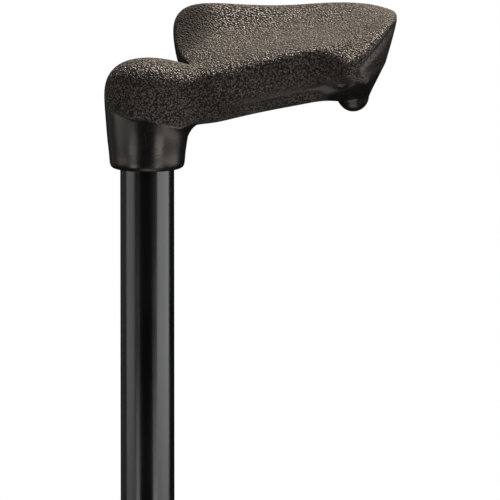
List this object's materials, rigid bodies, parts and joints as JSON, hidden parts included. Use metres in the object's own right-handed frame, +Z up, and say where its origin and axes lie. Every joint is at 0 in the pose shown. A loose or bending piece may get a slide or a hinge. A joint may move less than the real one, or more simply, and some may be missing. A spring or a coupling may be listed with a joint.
{
  "type": "quad walking cane",
  "caption": "Height-adjustable walking cane with a moulded left-hand palm grip, a telescoping tube with snap button and tube lock, and a four-legged base with rubber tips.",
  "frame": {"origin": "on the shaft's axis, at floor level, in the plane of the four tips' soles", "axes": "+Z up along the shaft; the handle points back along +X and the walker faces -X; the palm rest and the flat side of the base lie towards the walker on +Y"},
  "size_m": [0.2175, 0.15, 0.8726],
  "materials": {
    "grip_mould": "charcoal moulded grip, leather grain above and smooth on the collar",
    "shaft_tube": "black anodised aluminium, semi-gloss",
    "inner_tube": "clear anodised, satin",
    "nylon_natural": "natural nylon",
    "nylon_black": "black moulded nylon",
    "button_steel": "bright nickel-plated steel",
    "spring_steel": "spring steel strip",
    "base_steel": "black powder coat, fine orange peel",
    "zinc_steel": "bright zinc plate",
    "tip_rubber": "moulded black rubber, dusty sole"
  },
  "bodies": {
    "base": {"hub_sleeve": "base_steel", "hub_end_cap": "nylon_black", "hub_bolt": "zinc_steel", "hub_nut": "zinc_steel", "hub_washer_head": "zinc_steel", "hub_washer_nut": "zinc_steel", "lower_tube": "inner_tube", "tube_glide": "nylon_natural", "snap_spring": "spring_steel", "leg_front_outer": "base_steel", "tip_front_outer": "tip_rubber", "tip_washer_front_outer": "zinc_steel", "leg_front_inner": "base_steel", "tip_front_inner": "tip_rubber", "tip_washer_front_inner": "zinc_steel", "leg_rear_outer": "base_steel", "tip_rear_outer": "tip_rubber", "tip_washer_rear_outer": "zinc_steel", "leg_rear_inner": "base_steel", "tip_rear_inner": "tip_rubber", "tip_washer_rear_inner": "zinc_steel"},
    "shaft": {"upper_tube": "shaft_tube", "lock_collet": "nylon_black", "grip": "grip_mould", "handle_plug": "nylon_natural", "handle_screw": "zinc_steel"},
    "snap_button": {"snap_button": "button_steel"},
    "clamp_ring": {"clamp_ring": "nylon_natural"},
    "lock_nut": {"lock_nut": "nylon_black"}
  },
  "joints": [
    {"name": "height_slide", "type": "slide", "parent": "base", "child": "shaft", "axis": [0, 0, 1], "range_m": [-0.0762, 0.0762]},
    {"name": "button_press", "type": "slide", "parent": "base", "child": "snap_button", "axis": [0, 1, 0], "range_m": [0, 0.0042], "stiffness_N_per_m": 600, "springref_m": -0.004, "deforming": ["snap_spring"]},
    {"name": "ring_slide", "type": "slide", "parent": "shaft", "child": "clamp_ring", "axis": [0, 0, -1], "range_m": [0, 0.0015]},
    {"name": "nut_turn", "type": "hinge", "parent": "clamp_ring", "child": "lock_nut", "pos_m": [0, 0, 0.245], "axis": [0, 0, -1], "range_deg": [0, 360]}
  ],
  "couplings": [
    {"joint": "ring_slide", "follows": "nut_turn", "m_per_rad": 0.000238}
  ]
}
